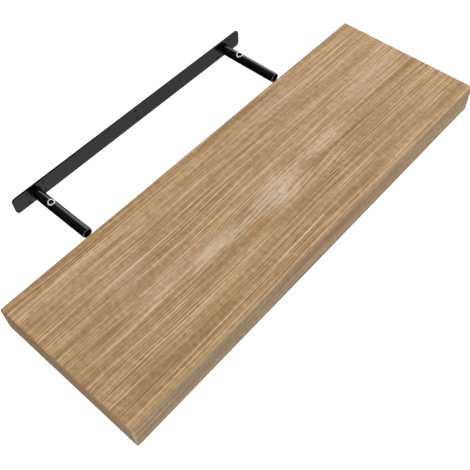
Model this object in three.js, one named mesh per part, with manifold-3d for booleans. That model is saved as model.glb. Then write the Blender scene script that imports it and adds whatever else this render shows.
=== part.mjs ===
// Floating wall shelf: a foil-wrapped hollow board that slides onto two tubes of a steel wall bracket.
// Millimetres. The origin is the centre of the wall plate's back face, on the wall.
// +X is to the right for someone facing the wall, -Y points away from the wall and +Z is up.
import * as THREE from "three";
import { mergeVertices } from "three/addons/utils/BufferGeometryUtils.js";
import Module from "manifold-3d";

const wasm = await Module();
wasm.setup();

// Board, outside, with its foil and edge bands on
const BOARD_LENGTH = 600;
const BOARD_DEPTH = 200;
const BOARD_HEIGHT = 40;
// From the tips of the support tubes to the back edge of the board while it is drawn off them
const DRAWN_OFF_GAP = 17.5;

// Skins, foil and bands
const FOIL_THICKNESS = 0.4;
const FOIL_EDGE_RADIUS = 1.2;
const PANEL_THICKNESS = 4;
const BAND_THICKNESS = 3;
const BAND_ARRIS_RADIUS = 2.5;

// Frame inside the board
const FRONT_RAIL_DEPTH = 20;
const BACK_RAIL_DEPTH = 20;
const END_RAIL_WIDTH = 20;
const TUBE_BLOCK_WIDTH = 44;
const SOCKET_GAP = 0.75; // round the support tube
const SOCKET_END_GAP = 4; // past the tip of the support tube
const RECESS_END_GAP = 0.8; // between the weld bead and the bottom of the recess
// The film of glue, or the weld's root gap, between pieces that meet
const SEAM = 0.1;

// Cardboard honeycomb, measured across the flats of a cell
const CELL_ACROSS = 24;
const CELL_WALL = 1.2;

// Wall plate
const PLATE_FROM_BOARD_END = 100;
const PLATE_HEIGHT = 25;
const PLATE_THICKNESS = 2.5;
const PLATE_CORNER_RADIUS = 5;
const SCREW_HOLE_DIAMETER = 3.2;
const SCREW_HOLE_FROM_EDGE = 5.2;
const SCREW_HOLE_FROM_TUBE_AXIS = 12.6;

// Support tubes
const TUBE_FROM_PLATE_END = 32;
const TUBE_DIAMETER = 13.5;
const TUBE_WALL = 1.5;
const TUBE_REACH = 94;
const TUBE_EDGE_BREAK = 0.4;
const WELD_LEG = 1.6;

// Lock bushes, through the tubes from top to bottom
const BUSH_FROM_PLATE = 31;
const BUSH_WALL = 1.6;
const BUSH_PROUD = 0.25;
const BUSH_FIT_GAP = 0.15;

// Lock screws and their threaded inserts in the underside of the board
const SCREW_DIAMETER = 6;
const SCREW_SINK = 0.3; // from the underside of the board up to the screw
const SCREW_BELOW_SOCKET = 0.2;
const SCREW_PITCH = 1;
const SCREW_THREAD_DEPTH = 0.5;
const SCREW_POINT = 0.8;
const HEX_SOCKET_ACROSS = 3;
const HEX_SOCKET_DEPTH = 3.5;
const SCREW_RUNNING_GAP = 0.2;
const INSERT_WALL = 1.8;
const INSERT_BELOW_SOCKET = 1.5;
const INSERT_FLANGE_LIP = 1.5;
const INSERT_FLANGE_THICKNESS = 1.2;
const INSERT_LEAD = 0.5;
const INSERT_FIT_GAP = 0.15;

// Facets and cutting
const ROUND_SEGMENTS = 40;
const THREAD_SEGMENTS = 18;
const CORNER_SEGMENTS = 6;
const BEAD_STEPS = 4;
const HEX_SIDES = 6;
const CUT_OVERRUN = 2;
const MERGE_DISTANCE = 1e-4;

// Places worked out from the sizes above. Board places count from the back edge of the board.
const SIDES = { left: -1, right: 1 };
const TUBE_RADIUS = TUBE_DIAMETER / 2;
const PLATE_LENGTH = BOARD_LENGTH - 2 * PLATE_FROM_BOARD_END;
const TUBE_AXIS_X = PLATE_LENGTH / 2 - TUBE_FROM_PLATE_END;
const SCREW_HOLE_RISE = PLATE_HEIGHT / 2 - SCREW_HOLE_FROM_EDGE;
const PLATE_FRONT = -PLATE_THICKNESS;
const TUBE_ROOT = PLATE_FRONT - SEAM;
const TUBE_TIP = PLATE_FRONT - TUBE_REACH;
const LOCK_Y = PLATE_FRONT - BUSH_FROM_PLATE;
const BORE_RADIUS = SCREW_DIAMETER / 2 + SCREW_RUNNING_GAP;
const BUSH_RADIUS = BORE_RADIUS + BUSH_WALL;

const HALF_HEIGHT = BOARD_HEIGHT / 2;
const HALF_LENGTH = BOARD_LENGTH / 2;
const FOIL_END_X = HALF_LENGTH - BAND_THICKNESS - SEAM;
const FOIL_INSIDE = HALF_HEIGHT - FOIL_THICKNESS;
const PANEL_OUTSIDE = FOIL_INSIDE - SEAM;
const PANEL_INSIDE = PANEL_OUTSIDE - PANEL_THICKNESS;
const FRAME_HALF_HEIGHT = PANEL_INSIDE - SEAM;
const FOIL_INSIDE_FRONT = -BOARD_DEPTH + FOIL_THICKNESS;
const FRAME_FRONT = FOIL_INSIDE_FRONT + SEAM;
const FRONT_RAIL_BACK = FRAME_FRONT + FRONT_RAIL_DEPTH;
const BAY_FRONT = FRONT_RAIL_BACK + SEAM;
const RECESS_BOTTOM = TUBE_ROOT - WELD_LEG - RECESS_END_GAP;
const BACK_RAIL_FRONT = RECESS_BOTTOM - BACK_RAIL_DEPTH;
const BAY_BACK = BACK_RAIL_FRONT - SEAM;
const END_RAIL_INSIDE_X = FOIL_END_X - END_RAIL_WIDTH;
const BAY_END_X = END_RAIL_INSIDE_X - SEAM;
const BLOCK_OUTSIDE_X = TUBE_AXIS_X + TUBE_BLOCK_WIDTH / 2;
const BLOCK_INSIDE_X = TUBE_AXIS_X - TUBE_BLOCK_WIDTH / 2;
const OUTER_BAY_X = BLOCK_OUTSIDE_X + SEAM;
const MIDDLE_BAY_X = BLOCK_INSIDE_X - SEAM;
const SOCKET_RADIUS = TUBE_RADIUS + SOCKET_GAP;
const BLOCK_FRONT = TUBE_TIP - SOCKET_END_GAP;
const FRONT_BAY_BACK = BLOCK_FRONT - SEAM;

const INSERT_RADIUS = BORE_RADIUS + INSERT_WALL;
const INSERT_TOP = -SOCKET_RADIUS - INSERT_BELOW_SOCKET;
const INSERT_FLANGE_RADIUS = INSERT_RADIUS + INSERT_FLANGE_LIP;
const INSERT_FLANGE_TOP = -HALF_HEIGHT + INSERT_FLANGE_THICKNESS;
const SCREW_BOTTOM = -HALF_HEIGHT + SCREW_SINK;
const SCREW_TOP = -SOCKET_RADIUS - SCREW_BELOW_SOCKET;

const X_AXIS = new THREE.Vector3(1, 0, 0);
const Y_AXIS = new THREE.Vector3(0, 1, 0);
const Z_AXIS = new THREE.Vector3(0, 0, 1);
// A section drawn in (y, z) and pulled along +X, and one drawn in (x, z) and pulled along -Y
const SECTION_ALONG_X = new THREE.Matrix4().makeBasis(Y_AXIS, Z_AXIS, X_AXIS);
const SECTION_ALONG_MINUS_Y = new THREE.Matrix4().makeBasis(X_AXIS, Z_AXIS, Y_AXIS.clone().negate());

const FINISH = {
  oakFoil: { color: 0xb9986c, roughness: 0.55, metalness: 0 },
  endBand: { color: 0x96805f, roughness: 0.6, metalness: 0 },
  fibreboard: { color: 0xa58a68, roughness: 0.9, metalness: 0 },
  softwood: { color: 0xc9a878, roughness: 0.85, metalness: 0 },
  cardboard: { color: 0xb69a72, roughness: 0.95, metalness: 0 },
  blackSteel: { color: 0x1b1b1c, roughness: 0.35, metalness: 0.4 },
  brightSteel: { color: 0xc4c4c2, roughness: 0.3, metalness: 1 },
  blackOxide: { color: 0x2a2a2b, roughness: 0.4, metalness: 0.8 },
};

function toSolid(geometry) {
  const bare = geometry.index ? geometry.toNonIndexed() : geometry.clone();
  for (const name of Object.keys(bare.attributes)) {
    if (name !== "position") bare.deleteAttribute(name);
  }
  const merged = mergeVertices(bare, MERGE_DISTANCE);
  return new wasm.Manifold(
    new wasm.Mesh({
      numProp: 3,
      vertProperties: merged.attributes.position.array,
      triVerts: new Uint32Array(merged.index.array),
    }),
  );
}

function toGeometry(solid) {
  const mesh = solid.getMesh();
  const geometry = new THREE.BufferGeometry();
  geometry.setAttribute("position", new THREE.BufferAttribute(mesh.vertProperties, mesh.numProp));
  geometry.setIndex(new THREE.BufferAttribute(mesh.triVerts, 1));
  const faceted = geometry.toNonIndexed();
  faceted.computeVertexNormals();
  return faceted;
}

function piece(name, shape, finish) {
  const geometry = shape.isBufferGeometry ? shape : toGeometry(shape);
  const mesh = new THREE.Mesh(geometry, new THREE.MeshStandardMaterial(FINISH[finish]));
  mesh.name = name;
  return mesh;
}

function block(xFrom, xTo, yFrom, yTo, zFrom, zTo) {
  const geometry = new THREE.BoxGeometry(xTo - xFrom, yTo - yFrom, zTo - zFrom);
  return geometry.translate((xFrom + xTo) / 2, (yFrom + yTo) / 2, (zFrom + zTo) / 2);
}

function extrude(shape, length) {
  return new THREE.ExtrudeGeometry(shape, {
    depth: length,
    bevelEnabled: false,
    curveSegments: CORNER_SEGMENTS,
  });
}

function extrudeAlongX(shape, from, to) {
  return extrude(shape, to - from).applyMatrix4(SECTION_ALONG_X).translate(from, 0, 0);
}

function extrudeForward(shape, from, to) {
  return extrude(shape, from - to).applyMatrix4(SECTION_ALONG_MINUS_Y).translate(0, from, 0);
}

function cylinderAlongZ(radius, x, y, zFrom, zTo, segments) {
  const geometry = new THREE.CylinderGeometry(radius, radius, zTo - zFrom, segments);
  return geometry.rotateX(Math.PI / 2).translate(x, y, (zFrom + zTo) / 2);
}

function cylinderAlongY(radius, x, z, yFrom, yTo, segments) {
  const geometry = new THREE.CylinderGeometry(radius, radius, yTo - yFrom, segments);
  return geometry.translate(x, (yFrom + yTo) / 2, z);
}

// A turned piece: (radius, height) points that close on themselves, counter-clockwise
function turned(points, segments) {
  const profile = points.map(([radius, height]) => new THREE.Vector2(radius, height));
  profile.push(profile[0].clone());
  return new THREE.LatheGeometry(profile, segments);
}

function roundedRectangle(width, height, radius) {
  const x = width / 2;
  const y = height / 2;
  const shape = new THREE.Shape();
  shape.moveTo(-x + radius, -y);
  shape.lineTo(x - radius, -y);
  shape.absarc(x - radius, -y + radius, radius, -Math.PI / 2, 0);
  shape.lineTo(x, y - radius);
  shape.absarc(x - radius, y - radius, radius, 0, Math.PI / 2);
  shape.lineTo(-x + radius, y);
  shape.absarc(-x + radius, y - radius, radius, Math.PI / 2, Math.PI);
  shape.lineTo(-x, -y + radius);
  shape.absarc(-x + radius, -y + radius, radius, Math.PI, Math.PI * 1.5);
  return shape;
}

// A section of the board in (y, z) with its front corners rounded
function boardSection(back, front, halfHeight, radius) {
  const shape = new THREE.Shape();
  shape.moveTo(back, -halfHeight);
  shape.lineTo(back, halfHeight);
  shape.lineTo(front + radius, halfHeight);
  shape.absarc(front + radius, halfHeight - radius, radius, Math.PI / 2, Math.PI);
  shape.lineTo(front, -halfHeight + radius);
  shape.absarc(front + radius, -halfHeight + radius, radius, Math.PI, Math.PI * 1.5);
  shape.closePath();
  return shape;
}

// Wall plate: a flat bar, with four wall-screw holes round each tube and two at its middle
function wallPlate() {
  const shape = roundedRectangle(PLATE_LENGTH, PLATE_HEIGHT, PLATE_CORNER_RADIUS);
  const columns = [0];
  for (const side of Object.values(SIDES)) {
    const tubeX = side * TUBE_AXIS_X;
    columns.push(tubeX - SCREW_HOLE_FROM_TUBE_AXIS, tubeX + SCREW_HOLE_FROM_TUBE_AXIS);
  }
  for (const x of columns) {
    for (const z of [-SCREW_HOLE_RISE, SCREW_HOLE_RISE]) {
      const hole = new THREE.Path();
      hole.absarc(x, z, SCREW_HOLE_DIAMETER / 2, 0, Math.PI * 2);
      shape.holes.push(hole);
    }
  }
  return piece("wall_plate", extrudeForward(shape, 0, PLATE_FRONT), "blackSteel");
}

// Support tube: open at its tip, with a convex weld bead round its root and a cross hole for the bush
function supportTube(name, side) {
  const bore = TUBE_RADIUS - TUBE_WALL;
  const profile = [
    [bore, TUBE_TIP + TUBE_EDGE_BREAK],
    [bore + TUBE_EDGE_BREAK, TUBE_TIP],
    [TUBE_RADIUS - TUBE_EDGE_BREAK, TUBE_TIP],
    [TUBE_RADIUS, TUBE_TIP + TUBE_EDGE_BREAK],
  ];
  for (let step = 0; step <= BEAD_STEPS; step += 1) {
    const angle = (step / BEAD_STEPS) * (Math.PI / 2);
    profile.push([TUBE_RADIUS + WELD_LEG * Math.sin(angle), TUBE_ROOT - WELD_LEG * Math.cos(angle)]);
  }
  profile.push([bore, TUBE_ROOT]);
  const tube = toSolid(turned(profile, ROUND_SEGMENTS).translate(side * TUBE_AXIS_X, 0, 0));
  const reach = TUBE_RADIUS + CUT_OVERRUN;
  const holeRadius = BUSH_RADIUS + BUSH_FIT_GAP;
  const hole = cylinderAlongZ(holeRadius, side * TUBE_AXIS_X, LOCK_Y, -reach, reach, ROUND_SEGMENTS);
  return piece(name, tube.subtract(toSolid(hole)), "blackSteel");
}

// Lock bush: a steel sleeve up through the tube, its ends turned to the round of the tube
function lockBush(name, side) {
  const x = side * TUBE_AXIS_X;
  const reach = TUBE_RADIUS + CUT_OVERRUN;
  const front = LOCK_Y - BUSH_RADIUS - CUT_OVERRUN;
  const back = LOCK_Y + BUSH_RADIUS + CUT_OVERRUN;
  const sleeve = cylinderAlongZ(BUSH_RADIUS, x, LOCK_Y, -reach, reach, ROUND_SEGMENTS);
  const bore = cylinderAlongZ(
    BORE_RADIUS, x, LOCK_Y, -reach - CUT_OVERRUN, reach + CUT_OVERRUN, ROUND_SEGMENTS,
  );
  const round = cylinderAlongY(TUBE_RADIUS + BUSH_PROUD, x, 0, front, back, ROUND_SEGMENTS);
  const bush = toSolid(sleeve).intersect(toSolid(round)).subtract(toSolid(bore));
  return piece(name, bush, "brightSteel");
}

// Foil: one sheet round the top, the front and the underside, with a hole for each insert's flange
function decorFoilWrap() {
  const outside = boardSection(0, -BOARD_DEPTH, HALF_HEIGHT, FOIL_EDGE_RADIUS);
  const insideRadius = Math.max(FOIL_EDGE_RADIUS - FOIL_THICKNESS, SEAM);
  const inside = boardSection(CUT_OVERRUN, FOIL_INSIDE_FRONT, FOIL_INSIDE, insideRadius);
  const pastEnd = FOIL_END_X + CUT_OVERRUN;
  let foil = toSolid(extrudeAlongX(outside, -FOIL_END_X, FOIL_END_X));
  foil = foil.subtract(toSolid(extrudeAlongX(inside, -pastEnd, pastEnd)));
  for (const side of Object.values(SIDES)) {
    foil = foil.subtract(toSolid(insertFlangeHole(side, -HALF_HEIGHT - CUT_OVERRUN)));
  }
  return piece("decor_foil_wrap", foil, "oakFoil");
}

function insertFlangeHole(side, zFrom) {
  const radius = INSERT_FLANGE_RADIUS + INSERT_FIT_GAP;
  const zTo = INSERT_FLANGE_TOP + SEAM;
  return cylinderAlongZ(radius, side * TUBE_AXIS_X, LOCK_Y, zFrom, zTo, ROUND_SEGMENTS);
}

function insertBodyHole(side) {
  const radius = INSERT_RADIUS + INSERT_FIT_GAP;
  return cylinderAlongZ(radius, side * TUBE_AXIS_X, LOCK_Y, -BOARD_HEIGHT, 0, ROUND_SEGMENTS);
}

// Skin panel: its outer front corner follows the fold of the foil
function skinPanel(zSide) {
  const radius = Math.max(FOIL_EDGE_RADIUS - FOIL_THICKNESS - SEAM, SEAM);
  const cornerY = FRAME_FRONT + radius;
  const cornerZ = zSide * (PANEL_OUTSIDE - radius);
  const shape = new THREE.Shape();
  shape.moveTo(0, zSide * PANEL_INSIDE);
  shape.lineTo(0, zSide * PANEL_OUTSIDE);
  shape.lineTo(cornerY, zSide * PANEL_OUTSIDE);
  shape.absarc(cornerY, cornerZ, radius, (zSide * Math.PI) / 2, Math.PI, zSide < 0);
  shape.lineTo(FRAME_FRONT, zSide * PANEL_INSIDE);
  shape.closePath();
  return extrudeAlongX(shape, -FOIL_END_X, FOIL_END_X);
}

function topPanel() {
  return piece("top_panel", skinPanel(1), "fibreboard");
}

function bottomPanel() {
  let panel = toSolid(skinPanel(-1));
  for (const side of Object.values(SIDES)) {
    panel = panel.subtract(toSolid(insertFlangeHole(side, -BOARD_HEIGHT)));
    panel = panel.subtract(toSolid(insertBodyHole(side)));
  }
  return piece("bottom_panel", panel, "fibreboard");
}

// Frame strips between the skins
function frameStrip(name, xFrom, xTo, yFrom, yTo) {
  return piece(name, block(xFrom, xTo, yFrom, yTo, -FRAME_HALF_HEIGHT, FRAME_HALF_HEIGHT), "softwood");
}

function frameStrips() {
  return [
    frameStrip("front_rail", -FOIL_END_X, FOIL_END_X, FRAME_FRONT, FRONT_RAIL_BACK),
    frameStrip("left_end_rail", -FOIL_END_X, -END_RAIL_INSIDE_X, BAY_FRONT, 0),
    frameStrip("right_end_rail", END_RAIL_INSIDE_X, FOIL_END_X, BAY_FRONT, 0),
    frameStrip("left_back_rail", -BAY_END_X, -OUTER_BAY_X, BACK_RAIL_FRONT, RECESS_BOTTOM),
    frameStrip("middle_back_rail", -MIDDLE_BAY_X, MIDDLE_BAY_X, BACK_RAIL_FRONT, RECESS_BOTTOM),
    frameStrip("right_back_rail", OUTER_BAY_X, BAY_END_X, BACK_RAIL_FRONT, RECESS_BOTTOM),
  ];
}

// Tube block: solid wood, bored right through for the tube and from below for the insert
function tubeBlock(name, side) {
  const x = side * TUBE_AXIS_X;
  const halfWidth = TUBE_BLOCK_WIDTH / 2;
  const body = block(
    x - halfWidth, x + halfWidth, BLOCK_FRONT, RECESS_BOTTOM, -FRAME_HALF_HEIGHT, FRAME_HALF_HEIGHT,
  );
  const boreFront = BLOCK_FRONT - CUT_OVERRUN;
  const socket = cylinderAlongY(SOCKET_RADIUS, x, 0, boreFront, CUT_OVERRUN, ROUND_SEGMENTS);
  const bored = toSolid(body).subtract(toSolid(socket)).subtract(toSolid(insertBodyHole(side)));
  return piece(name, bored, "softwood");
}

// Edge band: covers the whole end, its long arrises rounded over and its front corners following the foil
function edgeBand(name, side) {
  const inner = side * (HALF_LENGTH - BAND_THICKNESS);
  const outer = side * HALF_LENGTH;
  const radius = BAND_ARRIS_RADIUS;
  const shoulder = outer - side * radius;
  const outward = side > 0 ? 0 : Math.PI;
  const clockwise = side > 0;
  const shape = new THREE.Shape();
  shape.moveTo(inner, -HALF_HEIGHT);
  shape.lineTo(inner, HALF_HEIGHT);
  shape.lineTo(shoulder, HALF_HEIGHT);
  shape.absarc(shoulder, HALF_HEIGHT - radius, radius, Math.PI / 2, outward, clockwise);
  shape.lineTo(outer, -HALF_HEIGHT + radius);
  shape.absarc(shoulder, -HALF_HEIGHT + radius, radius, outward, Math.PI * 1.5, clockwise);
  shape.closePath();
  const across = toSolid(extrudeForward(shape, 0, -BOARD_DEPTH));
  const section = boardSection(0, -BOARD_DEPTH, HALF_HEIGHT, FOIL_EDGE_RADIUS);
  const along = toSolid(extrudeAlongX(section, -BOARD_LENGTH, BOARD_LENGTH));
  return piece(name, across.intersect(along), "endBand");
}

// Honeycomb core: rows of hexagonal cells, every other row shifted by half a cell
function honeycombCore(name, xFrom, xTo, yFrom, yTo) {
  const width = xTo - xFrom;
  const depth = yTo - yFrom;
  const cellRadius = CELL_ACROSS / Math.sqrt(3);
  const pitch = CELL_ACROSS + CELL_WALL;
  const rowPitch = (pitch * Math.sqrt(3)) / 2;
  const perRow = Math.floor((width - CELL_WALL) / pitch);
  const rows = Math.floor((depth - 2 * CELL_WALL - 2 * cellRadius) / rowPitch) + 1;
  const shape = new THREE.Shape();
  shape.moveTo(xFrom, yFrom);
  shape.lineTo(xTo, yFrom);
  shape.lineTo(xTo, yTo);
  shape.lineTo(xFrom, yTo);
  shape.closePath();
  for (let row = 0; row < rows; row += 1) {
    const count = perRow - (row % 2);
    const y = (yFrom + yTo) / 2 + (row - (rows - 1) / 2) * rowPitch;
    for (let column = 0; column < count; column += 1) {
      const x = (xFrom + xTo) / 2 + (column - (count - 1) / 2) * pitch;
      shape.holes.push(hexagon(x, y, cellRadius));
    }
  }
  const height = 2 * FRAME_HALF_HEIGHT;
  return piece(name, extrude(shape, height).translate(0, 0, -FRAME_HALF_HEIGHT), "cardboard");
}

// One core behind the front rail, from end to end, and three at the back, beside and between the blocks
function honeycombCores() {
  return [
    honeycombCore("front_honeycomb_core", -BAY_END_X, BAY_END_X, BAY_FRONT, FRONT_BAY_BACK),
    honeycombCore("left_honeycomb_core", -BAY_END_X, -OUTER_BAY_X, BLOCK_FRONT, BAY_BACK),
    honeycombCore("middle_honeycomb_core", -MIDDLE_BAY_X, MIDDLE_BAY_X, BLOCK_FRONT, BAY_BACK),
    honeycombCore("right_honeycomb_core", OUTER_BAY_X, BAY_END_X, BLOCK_FRONT, BAY_BACK),
  ];
}

function hexagon(x, y, radius) {
  const points = [];
  for (let corner = 0; corner < HEX_SIDES; corner += 1) {
    const angle = ((corner + 1 / 2) / HEX_SIDES) * Math.PI * 2;
    points.push(new THREE.Vector2(x + radius * Math.cos(angle), y + radius * Math.sin(angle)));
  }
  return new THREE.Path(points);
}

// Insert nut: a flanged sleeve pressed up into the underside, its flange flush with the foil
function insertNut(name, side) {
  const profile = [
    [BORE_RADIUS + INSERT_LEAD, -HALF_HEIGHT],
    [INSERT_FLANGE_RADIUS, -HALF_HEIGHT],
    [INSERT_FLANGE_RADIUS, INSERT_FLANGE_TOP],
    [INSERT_RADIUS, INSERT_FLANGE_TOP],
    [INSERT_RADIUS, INSERT_TOP - INSERT_LEAD],
    [INSERT_RADIUS - INSERT_LEAD, INSERT_TOP],
    [BORE_RADIUS, INSERT_TOP],
    [BORE_RADIUS, -HALF_HEIGHT + INSERT_LEAD],
  ];
  const sleeve = turned(profile, ROUND_SEGMENTS).rotateX(Math.PI / 2);
  return piece(name, sleeve.translate(side * TUBE_AXIS_X, LOCK_Y, 0), "brightSteel");
}

// Lock screw: a set screw with ring grooves for its thread, a coned point and a hexagon socket below
function lockScrew(name, side) {
  const crest = SCREW_DIAMETER / 2;
  const root = crest - SCREW_THREAD_DEPTH;
  const turns = Math.floor((SCREW_TOP - SCREW_BOTTOM - SCREW_POINT) / SCREW_PITCH);
  const profile = [new THREE.Vector2(0, SCREW_BOTTOM), new THREE.Vector2(root, SCREW_BOTTOM)];
  for (let turn = 0; turn < turns; turn += 1) {
    profile.push(new THREE.Vector2(crest, SCREW_BOTTOM + (turn + 1 / 2) * SCREW_PITCH));
    profile.push(new THREE.Vector2(root, SCREW_BOTTOM + (turn + 1) * SCREW_PITCH));
  }
  profile.push(new THREE.Vector2(root - SCREW_THREAD_DEPTH, SCREW_TOP), new THREE.Vector2(0, SCREW_TOP));
  const shank = toSolid(new THREE.LatheGeometry(profile, THREAD_SEGMENTS).rotateX(Math.PI / 2));
  const socketRadius = HEX_SOCKET_ACROSS / Math.sqrt(3);
  const socketTop = SCREW_BOTTOM + HEX_SOCKET_DEPTH;
  const socket = cylinderAlongZ(socketRadius, 0, 0, SCREW_BOTTOM - CUT_OVERRUN, socketTop, HEX_SIDES);
  const screw = toGeometry(shank.subtract(toSolid(socket)));
  return piece(name, screw.translate(side * TUBE_AXIS_X, LOCK_Y, 0), "blackOxide");
}

const bracket = new THREE.Group();
bracket.add(wallPlate());
const board = new THREE.Group();
board.add(topPanel(), bottomPanel(), ...frameStrips(), decorFoilWrap());
board.add(...honeycombCores());
for (const [name, side] of Object.entries(SIDES)) {
  bracket.add(supportTube(`${name}_support_tube`, side), lockBush(`${name}_lock_bush`, side));
  board.add(tubeBlock(`${name}_tube_block`, side), edgeBand(`${name}_edge_band`, side));
  board.add(insertNut(`${name}_insert_nut`, side), lockScrew(`${name}_lock_screw`, side));
}
board.position.y = TUBE_TIP - DRAWN_OFF_GAP;

const shelf = new THREE.Group();
shelf.add(bracket, board);
export default shelf;
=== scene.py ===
"""Floating wall shelf: its visible surfaces and finishes, studio and camera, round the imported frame.

Lengths are metres in the frame's own axes: +X to the right along the shelf, +Y into the wall and +Z up.
"""

import math

import bmesh
import bpy
from bpy.props import FloatProperty, FloatVectorProperty, IntProperty, PointerProperty
from mathutils import Euler, Matrix, Vector


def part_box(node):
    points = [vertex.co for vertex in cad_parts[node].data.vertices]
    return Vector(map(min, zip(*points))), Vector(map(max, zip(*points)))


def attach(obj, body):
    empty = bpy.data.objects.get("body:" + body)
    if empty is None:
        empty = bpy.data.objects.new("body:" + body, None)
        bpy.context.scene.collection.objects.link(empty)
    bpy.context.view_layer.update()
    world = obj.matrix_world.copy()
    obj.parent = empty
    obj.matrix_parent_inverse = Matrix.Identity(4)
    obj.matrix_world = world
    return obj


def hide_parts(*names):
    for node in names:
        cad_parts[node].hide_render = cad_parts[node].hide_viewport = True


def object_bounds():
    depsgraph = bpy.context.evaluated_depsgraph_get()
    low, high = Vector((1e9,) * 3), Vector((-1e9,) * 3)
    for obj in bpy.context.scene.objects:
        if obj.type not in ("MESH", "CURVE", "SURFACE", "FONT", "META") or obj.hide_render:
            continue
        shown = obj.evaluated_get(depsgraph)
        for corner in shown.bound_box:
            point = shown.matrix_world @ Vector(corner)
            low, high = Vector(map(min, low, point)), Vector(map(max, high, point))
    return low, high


bl_info = {
    "name": "Floating wall shelf",
    "version": (1, 0, 0),
    "blender": (4, 5, 0),
    "location": "View3D > Sidebar > Shelf",
    "description": "Builds the visible surfaces of a floating shelf, its wall bracket and its studio",
    "category": "Add Mesh",
}

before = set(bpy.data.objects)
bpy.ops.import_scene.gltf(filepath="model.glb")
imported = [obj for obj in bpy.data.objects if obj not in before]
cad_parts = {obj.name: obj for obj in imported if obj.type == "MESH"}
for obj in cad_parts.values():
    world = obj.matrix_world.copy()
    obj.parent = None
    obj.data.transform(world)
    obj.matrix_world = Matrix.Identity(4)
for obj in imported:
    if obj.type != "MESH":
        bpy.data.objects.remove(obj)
CAD_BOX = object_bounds()

MM = 0.001
FULL_TURN = 2 * math.pi
RIGHT_ANGLE = math.radians(90)
SIDES = {"left": -1, "right": 1}

# Steps round a full turn, and in a rounded edge
ROUND_STEPS = 96
HOLE_STEPS = 40
THREAD_STEPS = 48
EDGE_STEPS = 3
FOLD_STEPS = 8
CORNER_STEPS = 12
HEX_SIDES = 6
MERGE_DISTANCE = 0.001 * MM
CUT_DISTANCE = 0.0001 * MM
TOUCH = 0.01 * MM
SMOOTH_ANGLE = math.radians(40)
# How much narrower a weld bead's valleys are than its ripples
RIPPLE_SHARPNESS = 3
# A metric thread's flats are this share of its pitch. It is drawn from this many turns below its start
THREAD_FLAT = 1 / 8
SPARE_TURNS = 2

# The flat sheet of foil: the name of its map, how deep its print is embossed, and how steep a face is
# before it belongs to the next side. The bands' print begins this many board thicknesses past the front
SHEET_MAP = "sheet"
EMBOSSING = 0.03 * MM
STEEP = math.cos(math.radians(45))
BAND_PRINT_START = 3

# Timber: how far apart its year rings lie, and how far below the board's middle the tree's pith was
RING_SPACING = 3.4 * MM
PITH_DEPTH = 46 * MM
# Blender's wave pattern is the sine of this many times its scaled place
WAVE_RATE = 20

# Camera: the photograph's own view
CAMERA_PLACE = (-0.39422, -0.55654, 0.66163)
CAMERA_ANGLES = (35.2805, 2.007, -48.295)
CAMERA_LENS = 54.5
CAMERA_SENSOR = 36.0

# Studio
FLOOR_DROP = 1.25
FLOOR_RADIUS = 20.0
FLOOR_STEPS = 96
KEY_DIRECTION = (-0.1, 0.12, 0.98)
KEY_SPREAD = math.radians(45)
KEY_STRENGTH = 1.8
# The even light that the sky gives the shelf, slightly cool
SKY_FILL = (0.352, 0.363, 0.385)
# What glossy surfaces mirror: a dark studio with soft white cards, each with its direction, the angles
# from it within which it is full and gone, and its brightness
GLOSS_DARK = 0.03
GLOSS_CARDS = (
    ((0.05, 0.6, 0.8), 25, 75, 0.28),
    ((-0.3, -0.75, -0.6), 15, 80, 1.75),
    ((0.85, -0.25, -0.6), 5, 40, 0.9),
    ((0.5, 0.59, 0.63), 7, 13, 4.2),
    ((0.7, 0.59, 0.4), 9, 15, 4.2),
    ((0.8, 0.59, 0.1), 10, 16, 4.2),
)
FLOOR_GLOW = 0.45


def linear(hex_colour):
    """An sRGB hex colour as the linear values that Blender holds."""
    shares = (int(hex_colour[i : i + 2], 16) / 255 for i in (0, 2, 4))
    return tuple(s / 12.92 if s <= 0.04045 else ((s + 0.055) / 1.055) ** 2.4 for s in shares)


BLACK, WHITE = linear("000000"), linear("ffffff")
# Second tones of three finishes: clouds in the powder coat, bloom on the zinc, the oxide where it is worn
COAT_CLOUD, ZINC_BLOOM, OXIDE_WORN = linear("070707"), linear("cbcbcb"), linear("7c7c7c")


def length(name, description, millimetres):
    """A length that the user can change."""
    return FloatProperty(
        name=name, description=description, default=millimetres * MM, min=0, precision=5, unit="LENGTH"
    )


def colour(name, description, hex_colour):
    """A colour that the user can change."""
    return FloatVectorProperty(
        name=name, description=description, default=linear(hex_colour), min=0, max=1, subtype="COLOR"
    )


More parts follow.
